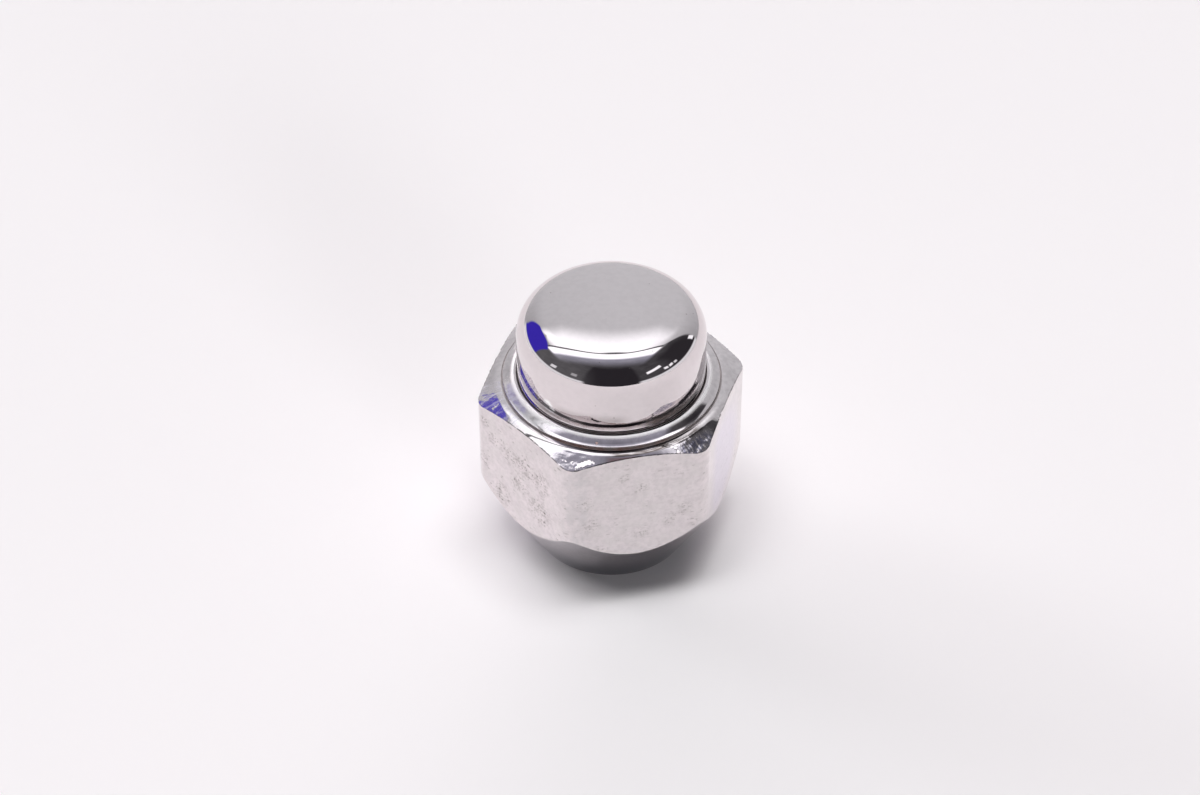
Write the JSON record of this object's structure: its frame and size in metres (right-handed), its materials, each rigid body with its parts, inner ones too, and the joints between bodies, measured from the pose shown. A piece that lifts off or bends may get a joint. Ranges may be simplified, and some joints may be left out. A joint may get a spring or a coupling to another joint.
{
  "type": "lug nut",
  "caption": "Closed chrome wheel nut: a hexagon body with a conical seat, topped by a plain domed cap held under a rolled lip.",
  "frame": {"origin": "on the nut's axis at the flat end face, where the thread opens", "axes": "+Z along the axis from the open end to the domed cap, +X towards a corner of the hexagon, +Y square to a flat"},
  "size_m": [0.0238, 0.021, 0.026],
  "materials": {
    "body_chrome": "bright plated steel with fine specks and small knocks along the chamfer",
    "cap_chrome": "bright plated pressed sheet, smooth"
  },
  "bodies": {
    "root": {"hex_body": "body_chrome", "end_cap": "cap_chrome"}
  },
  "joints": []
}
